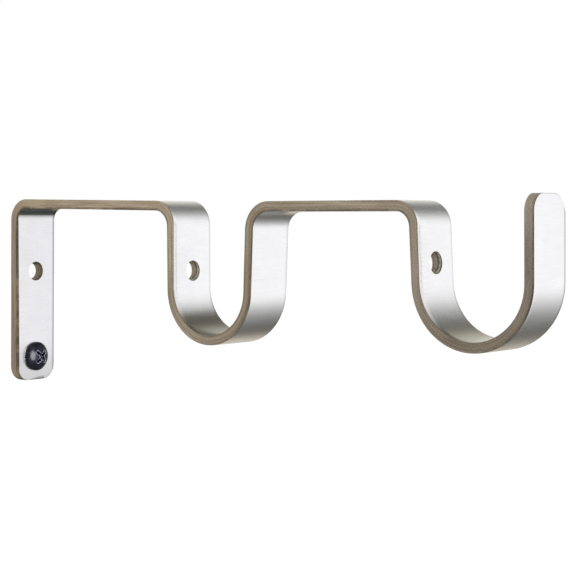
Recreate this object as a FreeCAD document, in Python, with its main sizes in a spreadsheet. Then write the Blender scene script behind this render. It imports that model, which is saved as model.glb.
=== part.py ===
import FreeCAD, Part
import math
import os
import Sketcher

# Double curtain pole bracket: one flat steel strip, bent into a wall plate, two arms and
# two open hooks, with a short pan head screw in the lower hole of the plate.
#
# The origin is the centre of the upper fixing hole, on the face that meets the wall.
# +X points away from the wall, +Y runs across the strip and +Z is up.
# Lengths are in millimetres and angles in degrees.

SIZES = {
    # The flat strip
    "strip_thickness": 3.0,
    "strip_width": 16.0,
    "strip_edge_radius": 0.3,
    "plate_corner_radius": 4.7,
    "tip_corner_radius": 3.8,
    # The wall plate and its bend
    "plate_end_drop": 35.3,
    "arm_height": 23.3,
    "wall_bend_radius": 3.8,
    "fixing_hole_diameter": 5.8,
    "fixing_hole_spacing": 27.7,
    "fixing_hole_chamfer": 0.2,
    # The rear arm and hook, nearer the wall
    "rear_arm_slope": 0.35,
    "rear_arm_bend_radius": 4.75,
    "rear_leg_lean": 1.0,
    "rear_pole_reach": 84.4,
    "rear_pole_drop": 26.1,
    "rear_pole_radius": 13.0,
    "rear_riser_lean": 1.65,
    "rear_screw_hole_height": 5.2,
    "rear_screw_hole_offset": 0.0,
    # The front arm and hook, further out
    "front_arm_drop": 0.4,
    "front_arm_slope": 0.5,
    "link_bend_radius": 5.3,
    "front_arm_bend_radius": 4.25,
    "front_leg_lean": 3.5,
    "pole_spacing": 88.05,
    "front_pole_drop": 20.85,
    "front_pole_radius": 15.1,
    "front_riser_lean": 0.8,
    "tip_rise": 1.75,
    "front_screw_hole_height": 5.3,
    "front_screw_hole_offset": 0.4,
    # The threaded holes in the hooks' back legs
    "screw_hole_diameter": 5.0,
    "screw_hole_chamfer": 0.5,
    # The screw in the lower fixing hole
    "screw_diameter": 5.0,
    "screw_length": 8.0,
    "screw_end_chamfer": 0.6,
    "screw_head_diameter": 9.3,
    "screw_head_height": 3.2,
    "screw_head_rim": 0.7,
    "recess_span": 5.2,
    "recess_width": 1.3,
    "recess_depth": 2.1,
    "recess_taper": 8.0,
    "recess_turn": 47.0,
}

# The end points and the centre of a sketch's line or arc, as sketches number them
START, END, CENTRE = range(1, 4)

# A sketch's own axes, numbered down from -1. Its origin is the start of the level one.
ORIGIN = LEVEL_AXIS = -1
UPRIGHT_AXIS = LEVEL_AXIS - 1

# The two long faces of the strip. The pole side is the back of the plate, the top of the
# arms and the inside of the hooks. The under side is the other one.
POLE_SIDE, UNDER_SIDE = 1, -1

# Two lengths closer than this are the same
SAME = 1e-6


def cell(name):
    return f"Sizes.{name}"


def make_sheet(doc):
    sheet = doc.addObject("Spreadsheet::Sheet", "Sizes")
    for row, (name, value) in enumerate(SIZES.items(), start=1):
        sheet.set(f"A{row}", name.replace("_", " "))
        sheet.set(f"B{row}", str(value))
        sheet.setAlias(f"B{row}", name)
    doc.recompute()


def origin_feature(body, role):
    return next(item for item in body.Origin.OriginFeatures if item.Role == role)


def add_body(doc, name):
    body = doc.addObject("PartDesign::Body", name)
    body.Label = name
    return body


def add_sketch(body, name, role):
    sketch = body.newObject("Sketcher::SketchObject", name)
    sketch.AttachmentSupport = (origin_feature(body, role), "")
    sketch.MapMode = "FlatFace"
    return sketch


def constrain(sketch, *arguments):
    return sketch.addConstraint(Sketcher.Constraint(*arguments))


def drive(sketch, name, expression, kind, *arguments):
    """Add a dimension with a name of its own, bound to an expression of the sheet."""
    index = constrain(sketch, kind, *arguments)
    sketch.renameConstraint(index, name)
    sketch.setExpression(f"Constraints.{name}", expression)


# The side view of the bent strip

def strip_bends():
    """Bends in order from the wall, drawn square: the constraints lean the legs later.

    Each one is its name, the cell of its inside radius, its centre, its radius at the
    middle of the strip, and the angles about its centre where it begins and ends.
    """
    half = SIZES["strip_thickness"] / 2
    rear_level = SIZES["arm_height"] - half
    front_level = rear_level - SIZES["front_arm_drop"]
    rear_x = SIZES["rear_pole_reach"]
    front_x = rear_x + SIZES["pole_spacing"]
    rear_z = SIZES["arm_height"] - SIZES["rear_pole_drop"]
    front_z = SIZES["arm_height"] - SIZES["front_pole_drop"]
    rear_radius = SIZES["rear_pole_radius"] + half
    front_radius = SIZES["front_pole_radius"] + half
    wall_bend = SIZES["wall_bend_radius"] + half
    rear_bend = SIZES["rear_arm_bend_radius"] + half
    link_bend = SIZES["link_bend_radius"] + half
    front_bend = SIZES["front_arm_bend_radius"] + half
    rear_bend_x = rear_x - rear_radius - rear_bend
    link_bend_x = rear_x + rear_radius + link_bend
    front_bend_x = front_x - front_radius - front_bend
    return [
        ("wall_bend_radius", half + wall_bend, rear_level - wall_bend, wall_bend, 180, 90),
        ("rear_arm_bend_radius", rear_bend_x, rear_level - rear_bend, rear_bend, 90, 0),
        ("rear_pole_radius", rear_x, rear_z, rear_radius, 180, 360),
        ("link_bend_radius", link_bend_x, front_level - link_bend, link_bend, 180, 90),
        ("front_arm_bend_radius", front_bend_x, front_level - front_bend, front_bend, 90, 0),
        ("front_pole_radius", front_x, front_z, front_radius, 180, 360),
    ]


def turns_down(first, last):
    """True for a bend whose centre lies on the under side of the strip."""
    return last < first


def add_chain(sketch, side):
    """One long face of the strip: flats and bends by turns, tangent where they meet."""
    half = SIZES["strip_thickness"] / 2
    point = FreeCAD.Vector(half - side * half, -SIZES["plate_end_drop"], 0)
    flats = []
    arcs = []
    for _, x, z, radius, first, last in strip_bends():
        outside = side if turns_down(first, last) else -side
        centre = FreeCAD.Vector(x, z, 0)
        circle = Part.Circle(centre, FreeCAD.Vector(0, 0, 1), radius + outside * half)
        begin = circle.value(math.radians(first))
        flats.append(sketch.addGeometry(Part.LineSegment(point, begin), False))
        low = math.radians(min(first, last))
        high = math.radians(max(first, last))
        arcs.append(sketch.addGeometry(Part.ArcOfCircle(circle, low, high), False))
        near, far = (END, START) if turns_down(first, last) else (START, END)
        constrain(sketch, "Tangent", flats[-1], END, arcs[-1], near)
        if len(arcs) > 1:
            constrain(sketch, "Tangent", arcs[-2], previous_far, flats[-1], START)
        previous_far = far
        point = circle.value(math.radians(last))
    tip = FreeCAD.Vector(point.x, SIZES["arm_height"] + SIZES["tip_rise"], 0)
    flats.append(sketch.addGeometry(Part.LineSegment(point, tip), False))
    constrain(sketch, "Tangent", arcs[-1], previous_far, flats[-1], START)
    return flats, arcs


def close_ends(sketch, pole_flats, under_flats):
    """Square ends: the foot of the plate and the tip of the front hook."""
    for pole, under, corner in (
        (pole_flats[0], under_flats[0], START),
        (pole_flats[-1], under_flats[-1], END),
    ):
        start = sketch.getPoint(pole, corner)
        end = sketch.getPoint(under, corner)
        cap = sketch.addGeometry(Part.LineSegment(start, end), False)
        constrain(sketch, "Coincident", cap, START, pole, corner)
        constrain(sketch, "Coincident", cap, END, under, corner)
        constrain(sketch, "Perpendicular", cap, pole)
        constrain(sketch, "Parallel", pole, under)


def size_bends(sketch, pole_arcs, under_arcs):
    """Both faces of a bend share a centre, one strip thickness apart."""
    for bend, pole_arc, under_arc in zip(strip_bends(), pole_arcs, under_arcs):
        name, first, last = bend[0], bend[4], bend[5]
        inner, outer = (under_arc, pole_arc) if turns_down(first, last) else (pole_arc, under_arc)
        inside = SIZES[name]
        outside = inside + SIZES["strip_thickness"]
        constrain(sketch, "Coincident", inner, CENTRE, outer, CENTRE)
        drive(sketch, name, cell(name), "Radius", inner, inside)
        drive(
            sketch, f"outer_{name}", f"{cell(name)} + {cell('strip_thickness')}",
            "Radius", outer, outside,
        )


def lean_flats(sketch, flats):
    """Direction of each flat after the plate, as it runs from the wall to the tip."""
    directions = [
        ("rear_arm_slope", 0, -1),
        ("rear_leg_lean", -90, 1),
        ("rear_riser_lean", 90, -1),
        ("front_arm_slope", 0, 1),
        ("front_leg_lean", -90, 1),
        ("front_riser_lean", 90, 1),
    ]
    for flat, (name, square, sense) in zip(flats[1:], directions):
        angle = math.radians(square + sense * SIZES[name])
        drive(sketch, name, f"{square} + {sense} * {cell(name)}", "Angle", flat, angle)


def place_flats(sketch, flats, arcs):
    """Heights from the upper fixing hole and reaches from the wall."""
    plate, rear_arm, front_arm, tip = flats[0], flats[1], flats[4], flats[6]
    rear_hook, front_hook = arcs[2], arcs[5]
    front_reach = SIZES["rear_pole_reach"] + SIZES["pole_spacing"]
    constrain(sketch, "PointOnObject", plate, START, UPRIGHT_AXIS)
    constrain(sketch, "Vertical", plate)
    heights = [
        ("plate_end_drop", plate, START, ORIGIN, START),
        ("arm_height", ORIGIN, START, rear_arm, START),
        ("rear_pole_drop", rear_hook, CENTRE, rear_arm, START),
        ("front_arm_drop", front_arm, START, rear_arm, START),
        ("front_pole_drop", front_hook, CENTRE, rear_arm, START),
        ("tip_rise", rear_arm, START, tip, END),
    ]
    for name, lower, lower_point, upper, upper_point in heights:
        drive(
            sketch, name, cell(name),
            "DistanceY", lower, lower_point, upper, upper_point, SIZES[name],
        )
    drive(
        sketch, "rear_pole_reach", cell("rear_pole_reach"),
        "DistanceX", ORIGIN, START, rear_hook, CENTRE, SIZES["rear_pole_reach"],
    )
    drive(
        sketch, "front_pole_reach", f"{cell('rear_pole_reach')} + {cell('pole_spacing')}",
        "DistanceX", ORIGIN, START, front_hook, CENTRE, front_reach,
    )


def sketch_side_view(body):
    sketch = add_sketch(body, "SideView", "XZ_Plane")
    pole_flats, pole_arcs = add_chain(sketch, POLE_SIDE)
    under_flats, under_arcs = add_chain(sketch, UNDER_SIDE)
    close_ends(sketch, pole_flats, under_flats)
    size_bends(sketch, pole_arcs, under_arcs)
    lean_flats(sketch, pole_flats)
    place_flats(sketch, pole_flats, pole_arcs)
    return sketch


# The strip's corners, edges and holes

def edges_where(shape, wanted):
    return [f"Edge{number}" for number, edge in enumerate(shape.Edges, start=1) if wanted(edge)]


def dress(body, kind, name, edges, property_name, size):
    """Fillet or chamfer edges of the body's last feature by a size of the sheet."""
    feature = body.newObject(f"PartDesign::{kind}", name)
    feature.Base = (feature.BaseFeature, edges)
    feature.setExpression(property_name, cell(size))
    body.Document.recompute()


def round_corners(body, name, size, near_x, far_x):
    """Round the corners of one square end, which lies between two values of X."""
    def crosses_thickness(edge):
        is_short = math.isclose(edge.Length, SIZES["strip_thickness"], abs_tol=SAME)
        return is_short and near_x < edge.CenterOfMass.x < far_x

    edges = edges_where(body.Tip.Shape, crosses_thickness)
    dress(body, "Fillet", name, edges, "Radius", size)


def round_long_edges(body):
    """Soften the edges along both side faces of the strip."""
    side_y = SIZES["strip_width"] / 2

    def on_side(edge):
        return all(math.isclose(abs(end.Y), side_y, abs_tol=SAME) for end in edge.Vertexes)

    edges = edges_where(body.Tip.Shape, on_side)
    dress(body, "Fillet", "LongEdges", edges, "Radius", "strip_edge_radius")


def cut_hole(body, name, diameter, depth, pivot_x, pivot_z, lean, across, along):
    """Round hole cut towards the wall from a plane that faces away from it.

    All but the name are expressions. The plane passes through pivot_x and pivot_z and
    leans about Y there. The hole's centre is across and along the plane from there.
    """
    sketch = add_sketch(body, f"{name}Circle", "YZ_Plane")
    middle = FreeCAD.Vector(0, 0, 0)
    sketch.AttachmentOffset = FreeCAD.Placement(
        middle, FreeCAD.Rotation(FreeCAD.Vector(1, 0, 0), 1)
    )
    sketch.setExpression("AttachmentOffset.Base.z", pivot_x)
    sketch.setExpression("AttachmentOffset.Base.y", pivot_z)
    sketch.setExpression("AttachmentOffset.Rotation.Angle", lean)
    circle = sketch.addGeometry(Part.Circle(middle, FreeCAD.Vector(0, 0, 1), 1), False)
    drive(sketch, "across", across, "DistanceX", ORIGIN, START, circle, CENTRE, 0)
    drive(sketch, "along", along, "DistanceY", ORIGIN, START, circle, CENTRE, 0)
    drive(sketch, "diameter", diameter, "Diameter", circle, 1)
    pocket = body.newObject("PartDesign::Pocket", name)
    pocket.Profile = sketch
    pocket.setExpression("Length", depth)
    body.Document.recompute()


def chamfer_rims(body, name, diameter, size, near_x, far_x):
    """Chamfer both rims of each round hole between two values of X."""
    def is_rim(edge):
        is_circle = edge.Curve.TypeId == "Part::GeomCircle" and edge.isClosed()
        fits = is_circle and math.isclose(2 * edge.Curve.Radius, SIZES[diameter], abs_tol=SAME)
        return fits and near_x < edge.CenterOfMass.x < far_x

    edges = edges_where(body.Tip.Shape, is_rim)
    dress(body, "Chamfer", name, edges, "Size", size)


def cut_fixing_holes(body):
    """Two plain holes for the wall screws, one above the other in the plate."""
    thickness = cell("strip_thickness")
    diameter = cell("fixing_hole_diameter")
    heights = {"Upper": "0", "Lower": f"-{cell('fixing_hole_spacing')}"}
    for place, height in heights.items():
        cut_hole(body, f"{place}FixingHole", diameter, thickness, thickness, "0", "0", "0", height)


def cut_screw_holes(body):
    """One threaded hole through the back leg of each hook, square to the leaning leg.

    The fine thread is not modelled: the bore has the thread's full diameter.
    """
    reaches = {
        "rear": cell("rear_pole_reach"),
        "front": f"{cell('rear_pole_reach')} + {cell('pole_spacing')}",
    }
    for hook, reach in reaches.items():
        cut_hole(
            body,
            f"{hook.capitalize()}ScrewHole",
            cell("screw_hole_diameter"),
            f"{cell(hook + '_pole_radius')} + 2 * {cell('strip_thickness')}",
            reach,
            f"{cell('arm_height')} - {cell(hook + '_pole_drop')}",
            f"-{cell(hook + '_leg_lean')}",
            f"-{cell(hook + '_screw_hole_offset')}",
            cell(f"{hook}_screw_hole_height"),
        )


def make_strip(doc):
    body = add_body(doc, "bracket_strip")
    side_view = sketch_side_view(body)
    doc.recompute()
    strip = body.newObject("PartDesign::Pad", "Strip")
    strip.Profile = side_view
    strip.Midplane = True
    strip.setExpression("Length", cell("strip_width"))
    doc.recompute()
    plate_front = SIZES["strip_thickness"] + SAME
    rear_hook_x = SIZES["rear_pole_reach"]
    front_hook_x = rear_hook_x + SIZES["pole_spacing"]
    round_corners(body, "PlateCorners", "plate_corner_radius", 0, plate_front)
    round_corners(body, "TipCorners", "tip_corner_radius", front_hook_x, math.inf)
    round_long_edges(body)
    cut_fixing_holes(body)
    chamfer_rims(
        body, "FixingHoleRims", "fixing_hole_diameter", "fixing_hole_chamfer",
        -SAME, plate_front,
    )
    cut_screw_holes(body)
    chamfer_rims(
        body, "ScrewHoleRims", "screw_hole_diameter", "screw_hole_chamfer",
        plate_front, front_hook_x,
    )
    return body


# The screw

def sketch_screw_profile(body):
    """Half section of the screw: its axis is X and its head stands on X = 0."""
    length = SIZES["screw_length"]
    radius = SIZES["screw_diameter"] / 2
    chamfer = SIZES["screw_end_chamfer"]
    head_radius = SIZES["screw_head_diameter"] / 2
    height = SIZES["screw_head_height"]
    rim = SIZES["screw_head_rim"]
    rise = height - rim
    dome_radius = (head_radius ** 2 + rise ** 2) / (2 * rise)
    dome_centre = height - dome_radius
    sketch = add_sketch(body, "ScrewProfile", "XZ_Plane")
    corners = [
        (height, 0),
        (-length, 0),
        (-length, radius - chamfer),
        (chamfer - length, radius),
        (0, radius),
        (0, head_radius),
        (rim, head_radius),
    ]
    points = [FreeCAD.Vector(x, z, 0) for x, z in corners]
    lines = [
        sketch.addGeometry(Part.LineSegment(start, end), False)
        for start, end in zip(points, points[1:])
    ]
    axis, end_face, end_chamfer, shank, seat, rim_line = lines
    circle = Part.Circle(FreeCAD.Vector(dome_centre, 0, 0), FreeCAD.Vector(0, 0, 1), dome_radius)
    rim_angle = math.atan2(head_radius, rim - dome_centre)
    dome = sketch.addGeometry(Part.ArcOfCircle(circle, 0, rim_angle), False)
    for first, second in zip(lines, lines[1:]):
        constrain(sketch, "Coincident", first, END, second, START)
    constrain(sketch, "Coincident", rim_line, END, dome, END)
    constrain(sketch, "Coincident", dome, START, axis, START)
    constrain(sketch, "PointOnObject", dome, CENTRE, LEVEL_AXIS)
    constrain(sketch, "PointOnObject", axis, START, LEVEL_AXIS)
    for line in (axis, shank, rim_line):
        constrain(sketch, "Horizontal", line)
    for line in (end_face, seat):
        constrain(sketch, "Vertical", line)
    constrain(sketch, "PointOnObject", seat, START, UPRIGHT_AXIS)
    lengths = [
        ("head_height", "screw_head_height", ORIGIN, START, axis, START, height),
        ("rim", "screw_head_rim", rim_line, START, rim_line, END, rim),
        ("length", "screw_length", axis, END, ORIGIN, START, length),
        ("chamfer_run", "screw_end_chamfer", end_chamfer, START, end_chamfer, END, chamfer),
    ]
    for name, size, *points_and_value in lengths:
        drive(sketch, name, cell(size), "DistanceX", *points_and_value)
    drive(
        sketch, "chamfer_rise", cell("screw_end_chamfer"),
        "DistanceY", end_chamfer, START, end_chamfer, END, chamfer,
    )
    radii = [
        ("shank_radius", "screw_diameter", shank, radius),
        ("head_radius", "screw_head_diameter", seat, head_radius),
    ]
    for name, size, line, value in radii:
        drive(sketch, name, f"{cell(size)} / 2", "DistanceY", ORIGIN, START, line, END, value)
    return sketch


def cut_recess(body):
    """Cross recess in the head: one slot with sloping walls, and its copy a quarter turn on."""
    span = SIZES["recess_span"]
    width = SIZES["recess_width"]
    sketch = add_sketch(body, "RecessSlot", "YZ_Plane")
    sketch.AttachmentOffset = FreeCAD.Placement(
        FreeCAD.Vector(0, 0, 0), FreeCAD.Rotation(FreeCAD.Vector(0, 0, 1), 1)
    )
    sketch.setExpression("AttachmentOffset.Base.z", cell("screw_head_height"))
    sketch.setExpression("AttachmentOffset.Rotation.Angle", cell("recess_turn"))
    corners = [
        FreeCAD.Vector(-span / 2, -width / 2, 0),
        FreeCAD.Vector(span / 2, -width / 2, 0),
        FreeCAD.Vector(span / 2, width / 2, 0),
        FreeCAD.Vector(-span / 2, width / 2, 0),
    ]
    sides = [
        sketch.addGeometry(Part.LineSegment(start, end), False)
        for start, end in zip(corners, corners[1:] + corners[:1])
    ]
    for first, second in zip(sides, sides[1:] + sides[:1]):
        constrain(sketch, "Coincident", first, END, second, START)
    bottom, right, top, left = sides
    for line in (bottom, top):
        constrain(sketch, "Horizontal", line)
    for line in (right, left):
        constrain(sketch, "Vertical", line)
    constrain(sketch, "Symmetric", bottom, START, top, START, ORIGIN, START)
    drive(sketch, "span", cell("recess_span"), "DistanceX", bottom, START, bottom, END, span)
    drive(sketch, "width", cell("recess_width"), "DistanceY", right, START, right, END, width)
    slot = body.newObject("PartDesign::Pocket", "Slot")
    slot.Profile = sketch
    slot.setExpression("Length", cell("recess_depth"))
    slot.setExpression("TaperAngle", f"-{cell('recess_taper')}")
    body.Document.recompute()
    cross = body.newObject("PartDesign::PolarPattern", "Cross")
    cross.Originals = [slot]
    cross.Axis = (origin_feature(body, "X_Axis"), [""])
    cross.Angle = "90 deg"
    cross.Occurrences = 2
    body.Tip = cross
    body.Document.recompute()


def make_screw(doc):
    """The screw rests in the lower fixing hole, its head on the room side of the plate."""
    body = add_body(doc, "fixing_screw")
    profile = sketch_screw_profile(body)
    doc.recompute()
    blank = body.newObject("PartDesign::Revolution", "Blank")
    blank.Profile = profile
    blank.ReferenceAxis = (origin_feature(body, "X_Axis"), [""])
    blank.Angle = "360 deg"
    doc.recompute()
    cut_recess(body)
    body.setExpression("Placement.Base.x", cell("strip_thickness"))
    body.setExpression("Placement.Base.z", f"-{cell('fixing_hole_spacing')}")
    return body


def check(doc, bodies):
    """Stop before anything is written if a feature failed or a solid is not sound."""
    for item in doc.Objects:
        if "Invalid" in item.State or "Error" in item.State:
            raise RuntimeError(f"{item.Name} did not build: {item.State}")
    for body in bodies:
        if body.Shape.isNull() or not body.Shape.isValid() or len(body.Shape.Solids) != 1:
            raise RuntimeError(f"{body.Label} is not one sound solid")


def main():
    doc = FreeCAD.newDocument("CurtainPoleBracket")
    make_sheet(doc)
    bodies = [make_strip(doc), make_screw(doc)]
    doc.recompute()
    check(doc, bodies)
    os.makedirs("parts", exist_ok=True)
    for body in bodies:
        body.Shape.exportStep(f"parts/{body.Label}.step")
        print(body.Label, round(body.Shape.Volume, 2), body.Shape.BoundBox)


main()
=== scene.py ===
"""The looks of the double curtain pole bracket: satin strip, cut edges, black screw and studio."""

from collections import namedtuple
import math

import bmesh
import bpy
from mathutils import Matrix, Vector

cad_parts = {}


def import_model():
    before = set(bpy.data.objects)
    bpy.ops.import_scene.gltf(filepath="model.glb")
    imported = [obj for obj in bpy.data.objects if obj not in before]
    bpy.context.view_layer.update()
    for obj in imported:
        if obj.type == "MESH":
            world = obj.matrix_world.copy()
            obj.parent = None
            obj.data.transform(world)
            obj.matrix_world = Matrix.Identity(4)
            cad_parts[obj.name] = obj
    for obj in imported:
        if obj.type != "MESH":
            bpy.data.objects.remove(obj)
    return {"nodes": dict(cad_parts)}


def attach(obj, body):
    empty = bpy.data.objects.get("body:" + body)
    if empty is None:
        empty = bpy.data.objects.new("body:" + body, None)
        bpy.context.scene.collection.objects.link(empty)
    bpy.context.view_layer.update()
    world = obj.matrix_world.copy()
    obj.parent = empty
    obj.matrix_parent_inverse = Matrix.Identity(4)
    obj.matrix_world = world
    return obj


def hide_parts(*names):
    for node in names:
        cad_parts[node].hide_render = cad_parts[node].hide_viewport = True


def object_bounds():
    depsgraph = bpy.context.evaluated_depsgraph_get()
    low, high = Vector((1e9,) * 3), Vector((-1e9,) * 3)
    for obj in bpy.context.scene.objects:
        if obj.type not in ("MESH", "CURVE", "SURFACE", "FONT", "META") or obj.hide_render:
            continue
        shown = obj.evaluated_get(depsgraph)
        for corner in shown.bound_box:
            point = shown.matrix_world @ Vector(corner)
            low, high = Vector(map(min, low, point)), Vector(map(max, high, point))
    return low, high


MM = 0.001
FULL_TURN = 2 * math.pi

# The strip, in millimetres
THICKNESS = 3.0
HALF_WIDTH = 8.0
PLATE_CORNER_RADIUS = 4.7
WALL_BEND_RADIUS = 6.8
REAR_HOOK_RADIUS = 13.0
FRONT_HOOK_RADIUS = 15.1

# The tip's corners are nipped off by hand. Each has its reach and a power, where 1 gives
# a round corner and 2 a straight cut
FAR_TIP_CORNER = (4.8, 1.43)
NEAR_TIP_CORNER = (4.2, 1.12)

# The foot of the plate, where the strip starts upwards: x, z and heading in degrees
STRIP_START = (0.0, -35.3, 90.0)

# Each straight run of the strip and the bend after it, measured along the pole side: length,
# radius and degrees turned left. The last run has no bend after it
RUNS = (
    (51.8, WALL_BEND_RADIUS, -90.35),
    (56.539, 7.75, -88.65),
    (18.370, REAR_HOOK_RADIUS, 177.35),
    (18.0205, 8.3, -87.85),
    (43.0286, 7.25, -87.0),
    (14.968, FRONT_HOOK_RADIUS, 177.3),
    (22.391, 0.0, 0.0),
)

# Its mesh: the map of places on the flat strip, degrees in a step of a bend, steps round a corner,
# the least angle of a sharp edge in degrees, and how much large faces lead the shading
FLAT_MAP = "flat_strip"
BEND_STEP = 3.0
CORNER_STEPS = 10
SHARP_ANGLE = 32.0
NORMAL_WEIGHT = 100

# The two long edges of the strip, by the sign of their place across it
FAR_SIDE = 1.0
NEAR_SIDE = -1.0

# The place of the cut edges' finish among the strip's materials, after that of the wide faces
EDGE_SLOT = 1

# The margin of a wide face falls away towards the cut edge: distance in from it, share of the fall
MARGIN = ((1.15, 0.0), (0.8, 0.12), (0.4, 0.42), (0.08, 0.78), (0.0, 1.0))

# How far the near margins fall along the strip: millimetres from the foot, depth at the edge.
# The far ones fall by a share of that
POLE_SIDE_FALL = (
    (0.0, 0.10),
    (128.0, 0.10),
    (134.0, 0.80),
    (150.0, 0.70),
    (175.0, 0.20),
    (210.0, 0.08),
    (270.0, 0.08),
    (277.0, 0.72),
    (292.0, 0.60),
    (320.0, 0.18),
    (359.0, 0.12),
)
UNDER_SIDE_FALL = ((0.0, 0.42), (50.0, 0.42), (58.0, 0.02), (300.0, 0.05), (359.0, 0.16))
FAR_FALL_SHARE = 0.25

# The near edge of the plate is rolled over, and its cut runs on round the corner of the face:
# millimetres from the foot, share of the margin's width
ROLL = ((0.0, 0.12), (5.5, 1.0), (42.0, 1.0), (58.0, 0.08))
ROLLED_END = ROLL[-1][0]

# How bright the cut edge is along the strip, in millimetres from the foot and shares of the full
# brightness: partly its own tone, and partly painted shade on runs turned from the light
EDGE_TONE_AND_SHADE = (
    (10.0, 0.70),
    (48.0, 0.72),
    (70.0, 0.97),
    (118.0, 0.98),
    (145.0, 0.97),
    (172.0, 0.74),
    (196.0, 0.68),
    (213.0, 0.76),
    (230.0, 0.88),
    (262.0, 0.86),
    (285.0, 0.77),
    (312.0, 0.64),
    (342.0, 0.57),
    (350.0, 0.62),
    (355.0, 0.72),
    (359.0, 0.85),
)

# Where the painted shade on a rim of the cut edge lies along the strip, on the side turned from the
# light: 1 on the pole side, 0 on the under side
RIM_SIDES = (
    (128.0, 0.0),
    (136.0, 1.0),
    (160.0, 1.0),
    (190.0, 0.0),
    (270.0, 0.0),
    (279.0, 1.0),
    (303.0, 1.0),
    (335.0, 0.0),
)

# The length that these two are spread over, about the whole run of the cut edge
EDGE_LENGTH = 363.4

# Holes: the axis leans up from X by some degrees, the front is the side away from the wall,
# and the hole's wall takes the tone and painted shade of the cut edge at a place along the strip
Hole = namedtuple("Hole", "centre lean front_diameter back_diameter wear_place")
UPPER_FIXING_HOLE = Hole((THICKNESS / 2, 0.0, 0.0), 0.0, 6.0, 5.2, 0.0)
LOWER_FIXING_HOLE = Hole((THICKNESS / 2, 0.0, -27.7), 0.0, 6.0, 6.0, 0.0)
REAR_SCREW_HOLE = Hole((69.811, 0.0, 2.146), 1.0, 5.9, 5.5, 80.0)
FRONT_SCREW_HOLE = Hole((155.557, -0.4, 6.727), 3.5, 5.9, 5.5, 235.0)

# How far a hole's edges are broken, how much wider the dark rim is in a hole, how many sides
# a hole has, and how far its cutter stands out of the strip
HOLE_RIM = 0.08
HOLE_RIM_SHADE = 0.45
HOLE_SIDES = 64
CUTTER_OVERHANG = 1.0

# Threads. A ridge fades in and out over a part of a turn, and is never quite without width.
# Half its width, at its root and at its crest, is a share of the pitch
Thread = namedtuple("Thread", "root_radius crest_radius pitch")
HOOK_THREAD = Thread(2.97, 2.58, 1.0)
SCREW_THREAD = Thread(2.42, 2.78, 0.8)
HOOK_THREAD_LENGTH = 2.7
SCREW_THREAD_START = -4.2
SCREW_THREAD_END = -0.6
THREAD_TURN_STEPS = 40
THREAD_FADE_TURNS = 0.5
THREAD_LEAST_FADE = 0.05
RIDGE_ROOT_SHARE = 0.48
RIDGE_CREST_SHARE = 0.08

# Finishes. Colours are stops, each with a place and a colour, and a tint multiplies a colour.
# A noise on the strip has its scale along and across it, as grains per millimetre, and
# roughness follows the middle range of a noise
NOISE_RANGE = (0.3, 0.7)
CLOUDS = {"scale": (0.12, 0.12)}
GRAIN = {"scale": (3.6, 0.12), "detail": 3.0}
STREAKS = {"scale": (0.05, 1.3), "detail": 5.0, "roughness": 0.65}
PITS = {"scale": (2.6, 2.6), "roughness": 0.75}
PATCHES = {"scale": (0.22, 0.5), "detail": 5.0, "roughness": 0.7}

# The wide faces: plated steel, brushed along the strip
PLATING_COLOURS = ((0.3, (0.92, 0.92, 0.93)), (0.7, (0.97, 0.97, 0.975)))
PLATING_ROUGHNESS = (0.26, 0.34)
BRUSHING = 0.6
BRUSHING_TURN = 0.25
GRAIN_BUMP_STRENGTH = 0.14
GRAIN_BUMP_DEPTH = 0.03

# The hooks get painted shade inside: the pole's axis in x and z, the hook's radius, how bright its
# bottom is, and the heights where the painted shade is at its full and where it ends, as shares of
# the radius above the axis. The skin is how far a mask reaches into the metal
REAR_HOOK = ((84.4, -2.8), REAR_HOOK_RADIUS)
FRONT_HOOK = ((172.45, 2.45), FRONT_HOOK_RADIUS)
SHADED_HOOKS = ((REAR_HOOK, 0.53, -0.70, -0.45), (FRONT_HOOK, 0.66, -0.87, -0.60))
HOOK_SHADE_TINT = (1.0, 0.975, 0.85)
HOOK_SKIN = 0.5

# Painted shade on the near margin at the bottom of the rear hook: heights as above, and how far in
# from the near edge it starts to fade and ends
MARGIN_SHADE_HEIGHTS = (-0.97, -0.80)
MARGIN_SHADE_REACH = (0.5, 5.0)
MARGIN_SHADE_TINT = (0.68, 0.66, 0.60)

# Painted shade: the plate is a little darker than the arms, and its foot darker still. The
# distances from the wall and the heights over which each fades out
PLATE_FADE = (3.2, 5.0)
PLATE_SHADE_TINT = (0.89, 0.89, 0.90)
FOOT_FADE = (-36.0, -20.0)
FOOT_SHADE_TINT = (0.78, 0.78, 0.77)

# The far margin has painted shade on the plate and towards the tip: how far in from the far edge
# it starts and is at its full, and how strong it is before and after a stretch, in millimetres from
# the foot
FAR_MARGIN = (1.1, 0.3)
TIP_SHADE_PLACES = (315.0, 335.0)
TIP_SHADE = (0.3, 0.85)
FAR_MARGIN_SHADE_TINT = (0.50, 0.50, 0.50)

# Painted shade in the crease inside the wall bend: the bend's axis, the skin, and the heights
# where it fades in
WALL_BEND_AXIS = (WALL_BEND_RADIUS, STRIP_START[1] + RUNS[0][0])
CREASE_SKIN = 0.3
CREASE_FADE = (17.95, 18.25)
CREASE_SHADE_TINT = (0.30, 0.32, 0.30)

# The cut edges and the walls of the holes: dull steel that turns cooler towards the tip
CUT_METALLIC = 0.25
CUT_ROUGHNESS = 0.5
CUT_COLOURS = (
    (0.37, (0.19, 0.15, 0.10)),
    (0.50, (0.385, 0.302, 0.193)),
    (0.64, (0.60, 0.50, 0.37)),
)
STREAK_SHARE = 0.5
CUT_BUMP_STRENGTH = 0.25
CUT_BUMP_DEPTH = 0.08
TIP_TINT = (0.95, 1.0, 1.16)

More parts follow.
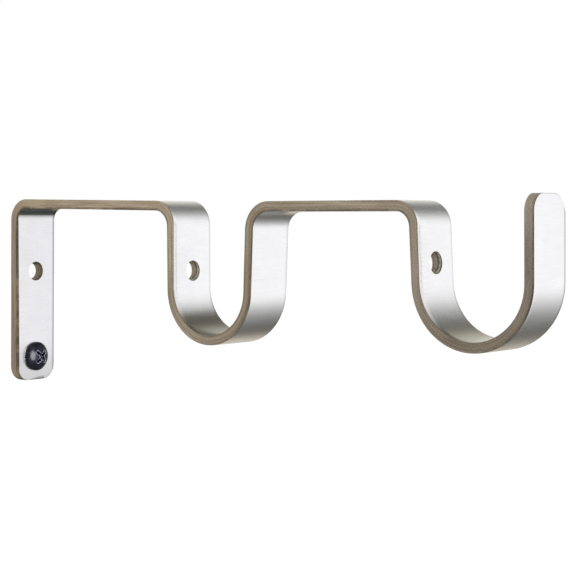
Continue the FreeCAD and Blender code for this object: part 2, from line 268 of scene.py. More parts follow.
# The painted shade on the rim of the cut: where it fades, as shares of the thickness from the pole
# side, and how far patches break it up
POLE_RIM = (0.05, 0.26)
UNDER_RIM = (0.66, 0.93)
PATCH_RANGE = (0.36, 0.56)
PATCH_SHARE = (0.35, 1.0)
RIM_SHADE_TINT = (0.40, 0.38, 0.38)

# Cuts that face down are in shade, which fades out as their normal's upward part grows
SHADE_FADE = (-0.9, -0.55)
SHADE_TINT = (0.30, 0.32, 0.30)

# The threads in the hooks, with their specks per metre
THREAD_METALLIC = 0.6
THREAD_SPECK_SCALE = 1400.0
THREAD_COLOURS = ((0.35, (0.26, 0.24, 0.19)), (0.65, (0.62, 0.59, 0.51)))
THREAD_ROUGHNESS = (0.30, 0.42)

# The paint of the screw, with its specks per metre. The rims of the recess get a painted highlight:
# how nearly a softened normal agrees with the real one where the highlight is full and where there is
# none
PAINT_SPECULAR = 0.10
PAINT_SPECK_SCALE = 900.0
PAINT_COLOURS = ((0.35, (0.002, 0.002, 0.003)), (0.7, (0.005, 0.005, 0.007)))
PAINT_ROUGHNESS = (0.18, 0.28)
SOFT_RIM_RADIUS = 0.22
HIGHLIGHT_RIM = (0.90, 0.995)
HIGHLIGHT_PAINT = (0.17, 0.17, 0.20)
RECESS_REACH = 3.3

# The camera that took the photograph, fitted to its outline
CAMERA_AZIMUTH = 38.238
CAMERA_ELEVATION = 1.837
CAMERA_ROLL = 0.425
CAMERA_DISTANCE = 434.176
CAMERA_AIM = (107.255, 0.0, 6.258)
CAMERA_LENS = 95.958
CAMERA_SENSOR = 36.0
CAMERA_SHIFT_Y = -0.0486
CAMERA_NEAREST = 10.0

# The floor and the light from all round
WHITE = (1.0, 1.0, 1.0, 1.0)
FLOOR_DROP = 150.0
FLOOR_HALF = 3000.0
FLOOR_COLOUR = (0.95, 0.95, 0.95, 1.0)
ROOM_LIGHT = 1.1

# The studio that the metal mirrors: the tilt of a face, from straight down (-90) through
# level (0) to straight up (90), and the colour that it mirrors
STUDIO = (
    (-90.0, (0.55, 0.50, 0.43)),
    (-80.0, (0.55, 0.51, 0.45)),
    (-70.0, (0.66, 0.61, 0.505)),
    (-60.0, (0.36, 0.33, 0.275)),
    (-50.0, (0.10, 0.095, 0.085)),
    (-40.0, (0.13, 0.13, 0.12)),
    (-30.0, (0.25, 0.25, 0.245)),
    (-20.0, (0.50, 0.50, 0.495)),
    (-12.0, (0.785, 0.785, 0.79)),
    (-5.0, (0.86, 0.86, 0.87)),
    (5.0, (0.85, 0.85, 0.86)),
    (15.0, (0.76, 0.76, 0.765)),
    (22.0, (0.555, 0.555, 0.55)),
    (30.0, (0.315, 0.315, 0.31)),
    (38.0, (0.145, 0.145, 0.138)),
    (46.0, (0.098, 0.098, 0.092)),
    (54.0, (0.215, 0.213, 0.192)),
    (62.0, (0.47, 0.455, 0.41)),
    (72.0, (0.67, 0.655, 0.59)),
    (80.0, (0.84, 0.83, 0.79)),
    (90.0, (0.86, 0.85, 0.80)),
)
STUDIO_STRENGTH = 1.2

# The near side of the studio is dim and brown, which fades out as a direction's Y grows
FRONT_TINT = (0.40, 0.35, 0.28)
FRONT_FADE = (-0.75, -0.40)

# The softbox, seen from the upper fixing hole
SOFTBOX_AZIMUTH = -26.0
SOFTBOX_ELEVATION = 3.0
SOFTBOX_DISTANCE = 700.0
SOFTBOX_SIZE = (420.0, 850.0)
SOFTBOX_POWER = 40.0
SOFTBOX_COLOUR = (0.88, 0.90, 0.98)


# The bent strip

def strip_path():
    """The pole side as pieces: start and end along it, the start's point and heading, curvature."""
    pieces = []
    x, z, degrees = STRIP_START
    heading = math.radians(degrees)
    start = 0.0
    for length, radius, turn in RUNS:
        stretches = [(length, 0.0)]
        if radius:
            angle = math.radians(turn)
            stretches.append((abs(angle) * radius, math.copysign(1.0 / radius, angle)))
        for reach, curvature in stretches:
            pieces.append((start, start + reach, (x, z, heading), curvature))
            x, z, heading = further_on(x, z, heading, curvature, reach)
            start += reach
    return pieces


def further_on(x, z, heading, curvature, distance):
    """The point and heading at a distance along a run or a bend."""
    if not curvature:
        return x + distance * math.cos(heading), z + distance * math.sin(heading), heading
    turned = heading + curvature * distance
    return (
        x + (math.sin(turned) - math.sin(heading)) / curvature,
        z - (math.cos(turned) - math.cos(heading)) / curvature,
        turned,
    )


PATH = strip_path()
STRIP_LENGTH = PATH[-1][1]


def bent(distance, across, depth):
    """Where a point of the flat strip ends up on the bent one. Its depth is from the pole side."""
    start, _, origin, curvature = next((piece for piece in PATH if distance <= piece[1]), PATH[-1])
    x, z, heading = further_on(*origin, curvature, distance - start)
    return Vector((x + depth * math.sin(heading), across, z - depth * math.cos(heading))) * MM


def strip_rows(tip_corner_shape):
    """The rows along one side of the flat strip, each a function of the distance in from the edge."""
    corner_reach, corner_power = tip_corner_shape
    quarter = [FULL_TURN / 4 * i / CORNER_STEPS for i in range(CORNER_STEPS + 1)]

    def plate_corner(angle):
        def place(inset):
            radius = PLATE_CORNER_RADIUS - inset
            return (
                PLATE_CORNER_RADIUS - radius * math.cos(angle),
                HALF_WIDTH - PLATE_CORNER_RADIUS + radius * math.sin(angle),
            )
        return place

    def tip_corner(angle):
        def place(inset):
            reach = corner_reach - inset
            return (
                STRIP_LENGTH - corner_reach + reach * abs(math.sin(angle)) ** corner_power,
                HALF_WIDTH - corner_reach + reach * abs(math.cos(angle)) ** corner_power,
            )
        return place

    def straight(distance):
        return lambda inset: (distance, HALF_WIDTH - inset)

    middle = []
    for start, end, _, curvature in PATH:
        steps = 1
        if curvature:
            steps = math.ceil(math.degrees((end - start) * abs(curvature)) / BEND_STEP)
        middle += [straight(start + (end - start) * i / steps) for i in range(steps)]
    return [plate_corner(a) for a in quarter] + middle[1:] + [tip_corner(a) for a in quarter]


def between(stops, place):
    """The value at a place, by straight lines between stops."""
    for (low, first), (high, second) in zip(stops, stops[1:]):
        if place <= high:
            return first + (second - first) * max(place - low, 0.0) / (high - low)
    return stops[-1][1]


def edge_run(rows):
    """How far along the cut edge each row lies, from the foot of the plate and round its corner."""
    points = [Vector(row(0.0)) for row in rows]
    run = [0.0]
    for first, second in zip(points, points[1:]):
        run.append(run[-1] + (second - first).length)
    return run


def in_roll(row, side):
    """Whether a row lies on the plate's near edge, which is rolled over."""
    return side == NEAR_SIDE and row(0.0)[0] < ROLLED_END


def strip_rings(mesh, outline):
    """Rings of points round the strip, from its pole side down, and each point's place when flat."""
    pole_side = [(inset, share, 0.0, 1.0, POLE_SIDE_FALL) for inset, share in MARGIN]
    under_side = [(inset, share, THICKNESS, -1.0, UNDER_SIDE_FALL) for inset, share in MARGIN[::-1]]
    rings = []
    flat = {}
    for inset, share, face_depth, inward, fall in pole_side + under_side:
        ring = []
        for row, side in outline:
            width_share = 1.0
            if inward < 0 and in_roll(row, side):
                width_share = between(ROLL, row(0.0)[0])
            distance, half = row(inset * width_share)
            drop = between(fall, distance)
            if side == FAR_SIDE:
                drop *= FAR_FALL_SHARE
            place = (distance, side * half, face_depth + inward * share * drop)
            vertex = mesh.verts.new(bent(*place))
            flat[vertex] = place
            ring.append(vertex)
        rings.append(ring)
    return rings, flat


def lay_flat(face, layer, flat):
    """Gives a wide face its place on the flat strip, in millimetres along and across."""
    for corner in face.loops:
        distance, across, _ = flat[corner.vert]
        corner[layer].uv = (distance, across)


def build_strip():
    """The bent strip as a mesh: two wide faces with fallen margins, and the cut edge between them."""
    mesh = bmesh.new()
    far_rows = strip_rows(FAR_TIP_CORNER)
    near_rows = strip_rows(NEAR_TIP_CORNER)
    outline = [(row, FAR_SIDE) for row in far_rows]
    outline += [(row, NEAR_SIDE) for row in reversed(near_rows)]
    rings, flat = strip_rings(mesh, outline)
    count = len(outline)
    run = edge_run(far_rows) + edge_run(near_rows)[::-1] + [0.0]
    layer = mesh.loops.layers.uv.new(FLAT_MAP)

    # The cut takes in the last step of the margin on either face, and all of a rolled margin
    cut_start = len(MARGIN) - 2
    cut_end = len(MARGIN) + 1
    for level, (upper, lower) in enumerate(zip(rings, rings[1:])):
        for i in range(count):
            j = (i + 1) % count
            face = mesh.faces.new((upper[i], upper[j], lower[j], lower[i]))
            face.smooth = True
            is_rolled = level >= cut_end and in_roll(*outline[j])
            if cut_start <= level < cut_end or is_rolled:
                face.material_index = EDGE_SLOT
                for corner, place in zip(face.loops, (run[i], run[i + 1], run[i + 1], run[i])):
                    corner[layer].uv = (place, flat[corner.vert][2])
            else:
                lay_flat(face, layer, flat)

    # The middle of either face joins each stretch of the far side to the one across from it
    for i in range(len(far_rows) - 1):
        for ring in (rings[0], rings[-1]):
            face = mesh.faces.new((ring[i], ring[i + 1], ring[count - 2 - i], ring[count - 1 - i]))
            face.smooth = True
            lay_flat(face, layer, flat)
    bmesh.ops.recalc_face_normals(mesh, faces=mesh.faces)
    return mesh


def new_object(name, mesh, materials):
    """A scene object made from a bmesh."""
    data = bpy.data.meshes.new(name)
    mesh.to_mesh(data)
    mesh.free()
    for material in materials:
        data.materials.append(material)
    obj = bpy.data.objects.new(name, data)
    bpy.context.scene.collection.objects.link(obj)
    return obj


# Holes and threads

def turned_frame(centre, lean):
    """A frame whose Z runs along the axis of a hole, which leans up from X by some degrees."""
    axis = Vector((math.cos(math.radians(lean)), 0.0, math.sin(math.radians(lean))))
    across = Vector((0.0, 1.0, 0.0))
    side = across.cross(axis)
    place = Matrix((side, across, axis)).transposed().to_4x4()
    place.translation = Vector(centre) * MM
    return place


def hole_cutter(hole):
    """A turned plug with the hole's bore and its two broken rims, used to cut the strip."""
    reach = THICKNESS / 2
    bore = hole.front_diameter / 2
    back_bore = hole.back_diameter / 2
    flare = HOLE_RIM + CUTTER_OVERHANG
    profile = (
        (-reach - CUTTER_OVERHANG, back_bore + flare),
        (-reach + HOLE_RIM, back_bore),
        (reach - HOLE_RIM, bore),
        (reach + CUTTER_OVERHANG, bore + flare),
    )
    mesh = bmesh.new()
    angles = [FULL_TURN * i / HOLE_SIDES for i in range(HOLE_SIDES)]
    rings = []
    for height, radius in profile:
        points = [Vector((radius * math.cos(a), radius * math.sin(a), height)) * MM for a in angles]
        rings.append([mesh.verts.new(point) for point in points])
    layer = mesh.loops.layers.uv.new(FLAT_MAP)
    side = FULL_TURN * bore / HOLE_SIDES
    depths = [min(height, reach) + reach + HOLE_RIM_SHADE for height, _ in profile]
    for low, high, low_depth, high_depth in zip(rings, rings[1:], depths, depths[1:]):
        for i in range(HOLE_SIDES):
            j = (i + 1) % HOLE_SIDES
            face = mesh.faces.new((low[i], low[j], high[j], high[i]))
            face.material_index = EDGE_SLOT
            places = ((i, low_depth), (i + 1, low_depth), (i + 1, high_depth), (i, high_depth))
            for corner, (turn, depth) in zip(face.loops, places):
                corner[layer].uv = (hole.wear_place + turn * side, depth)
    mesh.faces.new(reversed(rings[0]))
    mesh.faces.new(rings[-1])
    bmesh.ops.recalc_face_normals(mesh, faces=mesh.faces)
    mesh.transform(turned_frame(hole.centre, hole.lean))
    return mesh


def cut_holes(strip, cutters, materials):
    """Cuts the holes out of the strip, with the cut edge's finish on their walls."""
    plugs = []
    for index, cutter in enumerate(cutters):
        plug = new_object(f"cutter_{index}", cutter, materials)
        modifier = strip.modifiers.new(plug.name, "BOOLEAN")
        modifier.operation = "DIFFERENCE"
        modifier.solver = "EXACT"
        modifier.material_mode = "INDEX"
        modifier.object = plug
        plugs.append(plug)
    bpy.context.view_layer.update()
    graph = bpy.context.evaluated_depsgraph_get()
    result = bpy.data.meshes.new_from_object(strip.evaluated_get(graph))
    strip.modifiers.clear()
    strip.data = result
    for plug in plugs:
        bpy.data.objects.remove(plug)
    result.set_sharp_from_angle(angle=math.radians(SHARP_ANGLE))
    normals = strip.modifiers.new("normals", "WEIGHTED_NORMAL")
    normals.weight = NORMAL_WEIGHT
    normals.keep_sharp = True


def thread_ridge(name, centre, lean, thread, length, material):
    """A helical ridge with a blunt crest, which stands from the root's radius to the crest's."""
    mesh = bmesh.new()
    root, crest, pitch = thread
    section = (
        (root, -RIDGE_ROOT_SHARE),
        (crest, -RIDGE_CREST_SHARE),
        (crest, RIDGE_CREST_SHARE),
        (root, RIDGE_ROOT_SHARE),
    )
    steps = int(length / pitch * THREAD_TURN_STEPS)
    fade_steps = THREAD_FADE_TURNS * THREAD_TURN_STEPS
    rings = []
    for i in range(steps + 1):
        angle = FULL_TURN * i / THREAD_TURN_STEPS
        rise = -length / 2 + length * i / steps
        fade = min(1.0, i / fade_steps, (steps - i) / fade_steps)
        ring = []
        for radius, share in section:
            faded = root + (radius - root) * fade
            height = rise + share * pitch * max(fade, THREAD_LEAST_FADE)
            point = Vector((faded * math.cos(angle), faded * math.sin(angle), height))
            ring.append(mesh.verts.new(point * MM))
        rings.append(ring)
    for low, high in zip(rings, rings[1:]):
        for i in range(len(section)):
            j = (i + 1) % len(section)
            face = mesh.faces.new((low[i], low[j], high[j], high[i]))
            face.smooth = True
    mesh.faces.new(reversed(rings[0]))
    mesh.faces.new(rings[-1])
    bmesh.ops.recalc_face_normals(mesh, faces=mesh.faces)
    mesh.transform(turned_frame(centre, lean))
    return new_object(name, mesh, [material])


# Small parts of materials

def new_material(name):
    """An empty node material, its node tree and its principled shader."""
    material = bpy.data.materials.new(name)
    material.use_nodes = True
    return material, material.node_tree, material.node_tree.nodes["Principled BSDF"]


def object_place(tree):
    """The place on the object, in metres."""
    return tree.nodes.new("ShaderNodeTexCoord").outputs["Object"]


def flat_place(tree, scale=(1.0, 1.0)):
    """The place on the flat strip in millimetres, scaled along and across it."""
    uv = tree.nodes.new("ShaderNodeUVMap")
    uv.uv_map = FLAT_MAP
    mapping = tree.nodes.new("ShaderNodeMapping")
    mapping.inputs["Scale"].default_value = (*scale, 1.0)
    tree.links.new(uv.outputs["UV"], mapping.inputs["Vector"])
    return mapping.outputs["Vector"]


def separate(tree, vector):
    """The three parts of a vector."""
    node = tree.nodes.new("ShaderNodeSeparateXYZ")
    tree.links.new(vector, node.inputs["Vector"])
    return tuple(node.outputs)


def noise(tree, vector, scale=1.0, detail=4.0, roughness=0.6):
    """A cloudy value between 0 and 1."""
    texture = tree.nodes.new("ShaderNodeTexNoise")
    texture.inputs["Scale"].default_value = scale
    texture.inputs["Detail"].default_value = detail
    texture.inputs["Roughness"].default_value = roughness
    tree.links.new(vector, texture.inputs["Vector"])
    return texture.outputs["Fac"]


def flat_noise(tree, scale, **settings):
    """Noise laid on the flat strip, with its own scale along and across."""
    return noise(tree, flat_place(tree, scale), **settings)


def ramp(tree, factor, stops):
    """A colour ramp with (place, colour) stops."""
    node = tree.nodes.new("ShaderNodeValToRGB")
    elements = node.color_ramp.elements
    while len(elements) < len(stops):
        elements.new(position=0.5)
    for element, (place, colour) in zip(elements, stops):
        element.position = place
        element.color = (*colour, 1.0)
    tree.links.new(factor, node.inputs["Fac"])
    return node.outputs["Color"]


def math_node(tree, operation, first, second=None):
    """One step of arithmetic on sockets or plain numbers."""
    node = tree.nodes.new("ShaderNodeMath")
    node.operation = operation
    for socket, value in zip(node.inputs, (first, second)):
        if value is None:
            continue
        if isinstance(value, (int, float)):
            socket.default_value = value
        else:
            tree.links.new(value, socket)
    return node.outputs["Value"]


def map_range(tree, value, low, high, to_low, to_high, kind="SMOOTHSTEP"):
    """Takes a value from one range to another, and holds it at the ends."""
    node = tree.nodes.new("ShaderNodeMapRange")
    node.interpolation_type = kind
    node.inputs["From Min"].default_value = low
    node.inputs["From Max"].default_value = high
    node.inputs["To Min"].default_value = to_low
    node.inputs["To Max"].default_value = to_high
    tree.links.new(value, node.inputs["Value"])
    return node.outputs["Result"]


def rising(tree, value, low, high):
    """0 up to the low end of a range, 1 from its high end."""
    return map_range(tree, value, low, high, 0.0, 1.0)


def falling(tree, value, low, high):
    """1 up to the low end of a range, 0 from its high end."""
    return map_range(tree, value, low, high, 1.0, 0.0)


def within(tree, coordinates, axis, radius):
    """1 within a radius of an axis, 0 outside it. Coordinates and axis are taken in one plane."""
    offsets = [
        math_node(tree, "SUBTRACT", coordinate, centre * MM)
        for coordinate, centre in zip(coordinates, axis)
    ]
    squares = [math_node(tree, "MULTIPLY", offset, offset) for offset in offsets]
    distance = math_node(tree, "SQRT", math_node(tree, "ADD", *squares))
    return math_node(tree, "LESS_THAN", distance, radius * MM)


def blend_colour(tree, factor, first, second, mode="MIX"):
    """Mixes two colours, each a socket or a plain colour."""
    node = tree.nodes.new("ShaderNodeMix")
    node.data_type = "RGBA"
    node.blend_type = mode
    for name, value in (("Factor", factor), ("A", first), ("B", second)):
        if isinstance(value, tuple):
            node.inputs[name].default_value = (*value, 1.0)
        elif isinstance(value, float):
            node.inputs[name].default_value = value
        else:
            tree.links.new(value, node.inputs[name])
    return node.outputs["Result"]


def tinted(tree, colour, mask, tint):
    """A colour multiplied by a tint, as far as a mask allows."""
    return blend_colour(tree, mask, colour, tint, "MULTIPLY")


def bump(tree, shader, height, strength, depth):
    """Small unevenness of a surface, with its depth in millimetres."""
    node = tree.nodes.new("ShaderNodeBump")
    node.inputs["Strength"].default_value = strength
    node.inputs["Distance"].default_value = depth * MM
    tree.links.new(height, node.inputs["Height"])
    tree.links.new(node.outputs["Normal"], shader.inputs["Normal"])


# The finish of the wide faces

def hook_bottom(tree, x, z, hook, low, high):
    """1 inside the bottom of a hook. It ends between two heights, as shares of the hook's radius."""
    axis, radius = hook
    inside = within(tree, (x, z), axis, radius + HOOK_SKIN)
    bottom = falling(tree, z, (axis[1] + low * radius) * MM, (axis[1] + high * radius) * MM)
    return math_node(tree, "MULTIPLY", inside, bottom)


def plating_shades(tree):
    """Where painted shade darkens the plating: a mask and a tint for each."""
    x, _, z = separate(tree, object_place(tree))
    distance, across, _ = separate(tree, flat_place(tree))
    shades = []
    # Painted shade in the bottom of each hook
    for hook, brightness, low, high in SHADED_HOOKS:
        tint = tuple(brightness * part for part in HOOK_SHADE_TINT)
        shades.append((hook_bottom(tree, x, z, hook, low, high), tint))

    # Painted shade on the near margin at the bottom of the rear hook
    near_margin = falling(tree, across, *(reach - HALF_WIDTH for reach in MARGIN_SHADE_REACH))
    bottom = hook_bottom(tree, x, z, REAR_HOOK, *MARGIN_SHADE_HEIGHTS)
    shades.append((math_node(tree, "MULTIPLY", bottom, near_margin), MARGIN_SHADE_TINT))

    # Painted shade on the plate
    plate = falling(tree, x, *(place * MM for place in PLATE_FADE))
    shades.append((plate, PLATE_SHADE_TINT))

    # Painted shade on the far margin, on the plate and towards the tip
    far_margin = rising(tree, across, *(HALF_WIDTH - reach for reach in FAR_MARGIN))
    far_margin_shade = math_node(tree, "MAXIMUM", plate, map_range(tree, distance, *TIP_SHADE_PLACES, *TIP_SHADE))
    shades.append((math_node(tree, "MULTIPLY", far_margin_shade, far_margin), FAR_MARGIN_SHADE_TINT))

    # Painted shade at the foot of the plate
    shades.append((falling(tree, z, *(height * MM for height in FOOT_FADE)), FOOT_SHADE_TINT))

    # Painted shade in the crease of the wall bend
    bend = within(tree, (x, z), WALL_BEND_AXIS, WALL_BEND_RADIUS - THICKNESS + CREASE_SKIN)
    above = rising(tree, z, *(height * MM for height in CREASE_FADE))
    shades.append((math_node(tree, "MULTIPLY", bend, above), CREASE_SHADE_TINT))
    return shades


def satin_steel():
    """The wide faces: bright plated steel with a fine grain along the strip, and painted shade here and
    there.
    """
    material, tree, shader = new_material("satin_steel")
    shader.inputs["Metallic"].default_value = 1.0
    shader.inputs["Anisotropic"].default_value = BRUSHING
    shader.inputs["Anisotropic Rotation"].default_value = BRUSHING_TURN
    tangent = tree.nodes.new("ShaderNodeTangent")
    tangent.direction_type = "UV_MAP"
    tangent.uv_map = FLAT_MAP
    tree.links.new(tangent.outputs["Tangent"], shader.inputs["Tangent"])

    colour = ramp(tree, flat_noise(tree, **CLOUDS), PLATING_COLOURS)
    for mask, tint in plating_shades(tree):
        colour = tinted(tree, colour, mask, tint)
    tree.links.new(colour, shader.inputs["Base Color"])

    grain = flat_noise(tree, **GRAIN)
    roughness = map_range(tree, grain, *NOISE_RANGE, *PLATING_ROUGHNESS)
    tree.links.new(roughness, shader.inputs["Roughness"])
    bump(tree, shader, grain, GRAIN_BUMP_STRENGTH, GRAIN_BUMP_DEPTH)
    return material


# The finish of the cut edges

def rim_painted_shade(tree, depth, rim_side):
    """The painted shade on one rim of the cut edge, on one side of it or the other, broken up by
    patches.
    """
    pole_rim = falling(tree, depth, *(share * THICKNESS for share in POLE_RIM))
    under_rim = rising(tree, depth, *(share * THICKNESS for share in UNDER_RIM))
    rim = blend_colour(tree, rim_side, under_rim, pole_rim)
    patches = map_range(tree, flat_noise(tree, **PATCHES), *PATCH_RANGE, *PATCH_SHARE)
    return blend_colour(tree, 1.0, rim, patches, "MULTIPLY")


def cut_steel():
    """The cut edges and hole walls: dull brownish steel, streaked and pitted, with painted shade on one
    rim, along the strip and where they face down.
    """
    material, tree, shader = new_material("cut_steel")
    shader.inputs["Metallic"].default_value = CUT_METALLIC
    shader.inputs["Roughness"].default_value = CUT_ROUGHNESS
    streaks = math_node(tree, "MULTIPLY", flat_noise(tree, **STREAKS), STREAK_SHARE)
    pits = math_node(tree, "MULTIPLY", flat_noise(tree, **PITS), 1.0 - STREAK_SHARE)
    both = math_node(tree, "ADD", streaks, pits)
    bump(tree, shader, both, CUT_BUMP_STRENGTH, CUT_BUMP_DEPTH)

    run, depth, _ = separate(tree, flat_place(tree))
    share = map_range(tree, run, 0.0, EDGE_LENGTH, 0.0, 1.0, "LINEAR")
    tone_and_shade, rim_side = (
        ramp(tree, share, [(place / EDGE_LENGTH, (value, value, value)) for place, value in stops])
        for stops in (EDGE_TONE_AND_SHADE, RIM_SIDES)
    )
    geometry = tree.nodes.new("ShaderNodeNewGeometry")
    _, _, facing_up = separate(tree, geometry.outputs["Normal"])

    colour = ramp(tree, both, CUT_COLOURS)
    # The cut edge's tone along the strip, partly painted shade
    colour = tinted(tree, colour, 1.0, tone_and_shade)
    colour = tinted(tree, colour, share, TIP_TINT)
    # Painted shade on one rim of the cut
    colour = tinted(tree, colour, rim_painted_shade(tree, depth, rim_side), RIM_SHADE_TINT)
    colour = tinted(tree, colour, falling(tree, facing_up, *SHADE_FADE), SHADE_TINT)
    tree.links.new(colour, shader.inputs["Base Color"])
    return material


# The finish of the threads and the screw

def thread_steel():
    """The threads in the hooks: plated but dull, with light and dark specks."""
    material, tree, shader = new_material("thread_steel")
    shader.inputs["Metallic"].default_value = THREAD_METALLIC
    speck = noise(tree, object_place(tree), THREAD_SPECK_SCALE)
    tree.links.new(ramp(tree, speck, THREAD_COLOURS), shader.inputs["Base Color"])
    roughness = map_range(tree, speck, *NOISE_RANGE, *THREAD_ROUGHNESS)
    tree.links.new(roughness, shader.inputs["Roughness"])
    return material


def highlit_rims(tree, softened):
    """1 on the rims of the recess, where a softened normal leaves the real one: the painted highlight.
    """
    geometry = tree.nodes.new("ShaderNodeNewGeometry")
    agree = tree.nodes.new("ShaderNodeVectorMath")
    agree.operation = "DOT_PRODUCT"
    for socket, normal in zip(agree.inputs, (softened, geometry.outputs["Normal"])):
        tree.links.new(normal, socket)
    rims = falling(tree, agree.outputs["Value"], *HIGHLIGHT_RIM)
    _, y, z = separate(tree, object_place(tree))
    recess = within(tree, (y, z), LOWER_FIXING_HOLE.centre[1:], RECESS_REACH)
    return math_node(tree, "MULTIPLY", rims, recess)


def black_paint():
    """The fixing screw: smooth black paint with softened rims, and a painted highlight on the rims round
    the recess.
    """
    material, tree, shader = new_material("black_paint")
    shader.inputs["Specular IOR Level"].default_value = PAINT_SPECULAR
    rounded = tree.nodes.new("ShaderNodeBevel")
    rounded.inputs["Radius"].default_value = SOFT_RIM_RADIUS * MM
    tree.links.new(rounded.outputs["Normal"], shader.inputs["Normal"])

    speck = noise(tree, object_place(tree), PAINT_SPECK_SCALE)
    colour = ramp(tree, speck, PAINT_COLOURS)
    # A painted highlight on the rims round the recess
    colour = blend_colour(tree, highlit_rims(tree, rounded.outputs["Normal"]), colour, HIGHLIGHT_PAINT)
    tree.links.new(colour, shader.inputs["Base Color"])
    roughness = map_range(tree, speck, *NOISE_RANGE, *PAINT_ROUGHNESS)
    tree.links.new(roughness, shader.inputs["Roughness"])
    return material


# The camera, the floor and the lights

def place_camera():
    """The camera of the photograph."""
    turn = math.radians(CAMERA_AZIMUTH)
    rise = math.radians(CAMERA_ELEVATION)
    roll = math.radians(CAMERA_ROLL)
    back = Vector((math.sin(turn) * math.cos(rise), -math.cos(turn) * math.cos(rise), math.sin(rise)))
    right = Vector((math.cos(turn), math.sin(turn), 0.0))
    up = back.cross(right)
    rolled_right = math.cos(roll) * right + math.sin(roll) * up
    rolled_up = -math.sin(roll) * right + math.cos(roll) * up
    place = Matrix((rolled_right, rolled_up, back)).transposed().to_4x4()
    place.translation = (Vector(CAMERA_AIM) + back * CAMERA_DISTANCE) * MM
    data = bpy.data.cameras.new("camera")
    data.lens = CAMERA_LENS
    data.sensor_width = CAMERA_SENSOR
    data.shift_y = CAMERA_SHIFT_Y
    data.clip_start = CAMERA_NEAREST * MM
    camera = bpy.data.objects.new("camera", data)
    camera.matrix_world = place
    bpy.context.scene.collection.objects.link(camera)
    bpy.context.scene.camera = camera


def place_floor(box):
    """A white floor well below the bracket, which the metal doesn't mirror."""
    mesh = bmesh.new()
    bmesh.ops.create_grid(mesh, x_segments=1, y_segments=1, size=FLOOR_HALF * MM)
    height = box[0][2] - FLOOR_DROP * MM
    bmesh.ops.translate(mesh, verts=mesh.verts, vec=(0.0, 0.0, height))
    material, _, shader = new_material("white_floor")
    shader.inputs["Base Color"].default_value = FLOOR_COLOUR
    shader.inputs["Roughness"].default_value = 1.0
    shader.inputs["Specular IOR Level"].default_value = 0.0
    floor = new_object("floor", mesh, [material])
    floor.visible_glossy = False


def background(tree, colour, strength):
    """An even background, or one with the colour of a socket."""
    node = tree.nodes.new("ShaderNodeBackground")
    node.inputs["Strength"].default_value = strength
    if isinstance(colour, tuple):
        node.inputs["Color"].default_value = colour
    else:
        tree.links.new(colour, node.inputs["Color"])
    return node.outputs["Background"]


def for_rays(tree, kind, others, these):
    """One shader for rays of a kind, and another one for all the others."""
    path = tree.nodes.new("ShaderNodeLightPath")
    mix = tree.nodes.new("ShaderNodeMixShader")
    for socket, source in zip(mix.inputs, (path.outputs[kind], others, these)):
        tree.links.new(source, socket)
    return mix.outputs["Shader"]


def make_world():
    """White for the camera, even light for matt faces, and bands of light for the metal to mirror."""
    world = bpy.data.worlds.new("studio")
    world.use_nodes = True
    bpy.context.scene.world = world
    tree = world.node_tree
    coordinates = tree.nodes.new("ShaderNodeTexCoord")
    x, y, z = separate(tree, coordinates.outputs["Generated"])

    # A mirrored ray turns twice as far as the face that mirrors it, so the tilts fill a whole turn
    turn = math_node(tree, "ARCTAN2", z, x)
    place = map_range(tree, turn, -math.pi, math.pi, 0.0, 1.0, "LINEAR")
    lowest = STUDIO[0][0]
    highest = STUDIO[-1][0]
    stops = [((tilt - lowest) / (highest - lowest), colour) for tilt, colour in STUDIO]
    bands = ramp(tree, place, stops)
    bands = tinted(tree, bands, falling(tree, y, *FRONT_FADE), FRONT_TINT)

    room = background(tree, WHITE, ROOM_LIGHT)
    studio = background(tree, bands, STUDIO_STRENGTH)
    lights = for_rays(tree, "Is Glossy Ray", room, studio)
    shown = for_rays(tree, "Is Camera Ray", lights, background(tree, WHITE, 1.0))
    tree.links.new(shown, tree.nodes["World Output"].inputs["Surface"])


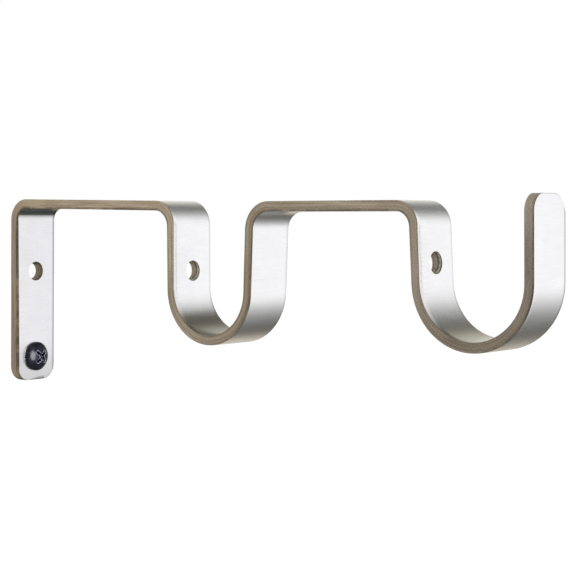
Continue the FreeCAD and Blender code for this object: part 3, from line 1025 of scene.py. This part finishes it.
def add_softbox(lit_pieces):
    """A large soft lamp on the open side, level with the bracket, that lights the glossy screw alone."""
    turn = math.radians(SOFTBOX_AZIMUTH)
    rise = math.radians(SOFTBOX_ELEVATION)
    away = Vector((math.cos(turn) * math.cos(rise), math.sin(turn) * math.cos(rise), math.sin(rise)))
    data = bpy.data.lights.new("softbox", "AREA")
    data.shape = "ELLIPSE"
    data.size, data.size_y = (side * MM for side in SOFTBOX_SIZE)
    data.energy = SOFTBOX_POWER
    data.color = SOFTBOX_COLOUR
    lamp = bpy.data.objects.new("softbox", data)
    lamp.location = away * SOFTBOX_DISTANCE * MM
    lamp.rotation_euler = (-away).to_track_quat("-Z", "Y").to_euler()
    bpy.context.scene.collection.objects.link(lamp)
    lit = bpy.data.collections.new("lit_by_softbox")
    for piece in lit_pieces:
        lit.objects.link(piece)
    lamp.light_linking.receiver_collection = lit


def main():
    """Dresses the bracket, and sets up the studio."""
    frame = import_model()
    cad_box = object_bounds()
    faces = satin_steel()
    edges = cut_steel()
    threads = thread_steel()
    paint = black_paint()

    strip = new_object("satin_strip", build_strip(), [faces, edges])
    holes = (UPPER_FIXING_HOLE, LOWER_FIXING_HOLE, REAR_SCREW_HOLE, FRONT_SCREW_HOLE)
    cut_holes(strip, [hole_cutter(hole) for hole in holes], [faces, edges])
    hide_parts("bracket_strip")
    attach(strip, "root")

    for name, hole in (("rear_hook_thread", REAR_SCREW_HOLE), ("front_hook_thread", FRONT_SCREW_HOLE)):
        ridge = thread_ridge(name, hole.centre, hole.lean, HOOK_THREAD, HOOK_THREAD_LENGTH, threads)
        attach(ridge, "root")

    screw = frame["nodes"]["fixing_screw"]
    screw.data.materials.clear()
    screw.data.materials.append(paint)
    length = SCREW_THREAD_END - SCREW_THREAD_START
    middle = ((SCREW_THREAD_START + SCREW_THREAD_END) / 2, *LOWER_FIXING_HOLE.centre[1:])
    ridge = thread_ridge("screw_thread", middle, 0.0, SCREW_THREAD, length, paint)
    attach(ridge, "root")

    bpy.context.scene.view_settings.view_transform = "Standard"
    place_camera()
    make_world()
    place_floor(cad_box)
    add_softbox([screw, ridge])


main()
